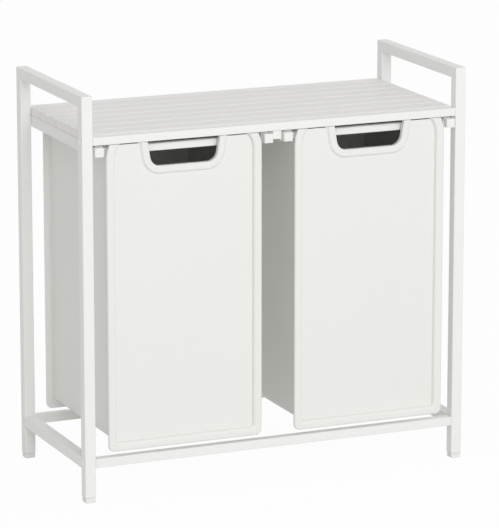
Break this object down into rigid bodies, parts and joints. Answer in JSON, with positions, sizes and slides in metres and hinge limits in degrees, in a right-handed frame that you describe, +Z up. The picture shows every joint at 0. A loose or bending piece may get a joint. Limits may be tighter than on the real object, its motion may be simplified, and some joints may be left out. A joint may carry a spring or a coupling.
{
  "type": "laundry hamper",
  "caption": "Laundry hamper with pull-out moulded bins that hang on runners in a square-tube steel frame, under a slatted shelf with a handle rail at each end.",
  "frame": {"origin": "on the floor, at the middle of the object's box", "axes": "+X to the right as seen from the front, +Y to the back, +Z up"},
  "size_m": [0.735, 0.33, 0.72],
  "materials": {
    "frame_steel": "satin white powder coat",
    "bin_steel": "satin white powder coat",
    "bin_plastic": "matt off-white moulding",
    "cap_plastic": "smooth white moulding",
    "foot_plastic": "smooth white moulding",
    "shelf_slat": "satin white paint with faint grain",
    "bolt": "satin white paint"
  },
  "bodies": {
    "frame": {"left_front_leg": "frame_steel", "left_back_leg": "frame_steel", "left_handle_rail": "frame_steel", "left_lower_rail": "frame_steel", "right_front_leg": "frame_steel", "right_back_leg": "frame_steel", "right_handle_rail": "frame_steel", "right_lower_rail": "frame_steel", "front_top_rail": "frame_steel", "front_bottom_rail": "frame_steel", "back_top_rail": "frame_steel", "back_bottom_rail": "frame_steel", "left_front_top_bolt": "bolt", "left_front_bottom_bolt": "bolt", "left_back_top_bolt": "bolt", "left_back_bottom_bolt": "bolt", "right_front_top_bolt": "bolt", "right_front_bottom_bolt": "bolt", "right_back_top_bolt": "bolt", "right_back_bottom_bolt": "bolt", "left_front_foot": "foot_plastic", "left_back_foot": "foot_plastic", "right_front_foot": "foot_plastic", "right_back_foot": "foot_plastic", "centre_bearer": "frame_steel", "left_outer_strip": "frame_steel", "left_inner_strip": "frame_steel", "left_outer_runner": "frame_steel", "left_outer_runner_cap": "cap_plastic", "left_inner_runner": "frame_steel", "left_inner_runner_cap": "cap_plastic", "right_outer_strip": "frame_steel", "right_inner_strip": "frame_steel", "right_outer_runner": "frame_steel", "right_outer_runner_cap": "cap_plastic", "right_inner_runner": "frame_steel", "right_inner_runner_cap": "cap_plastic", "shelf_slat_1": "shelf_slat", "shelf_slat_2": "shelf_slat", "shelf_slat_3": "shelf_slat", "shelf_slat_4": "shelf_slat", "shelf_slat_5": "shelf_slat", "shelf_slat_6": "shelf_slat", "shelf_slat_7": "shelf_slat"},
    "left_bin": {"left_bin_front_panel": "bin_plastic", "left_bin_back_panel": "bin_plastic", "left_bin_body": "bin_plastic", "left_bin_grip_bar": "bin_steel", "left_bin_back_bar": "bin_steel", "left_bin_left_hanger": "bin_steel", "left_bin_right_hanger": "bin_steel"},
    "right_bin": {"right_bin_front_panel": "bin_plastic", "right_bin_back_panel": "bin_plastic", "right_bin_body": "bin_plastic", "right_bin_grip_bar": "bin_steel", "right_bin_back_bar": "bin_steel", "right_bin_left_hanger": "bin_steel", "right_bin_right_hanger": "bin_steel"}
  },
  "joints": [
    {"name": "left_bin_slide", "type": "slide", "parent": "frame", "child": "left_bin", "axis": [0, -1, 0], "range_m": [0, 0.24]},
    {"name": "right_bin_slide", "type": "slide", "parent": "frame", "child": "right_bin", "axis": [0, -1, 0], "range_m": [0, 0.24]}
  ]
}
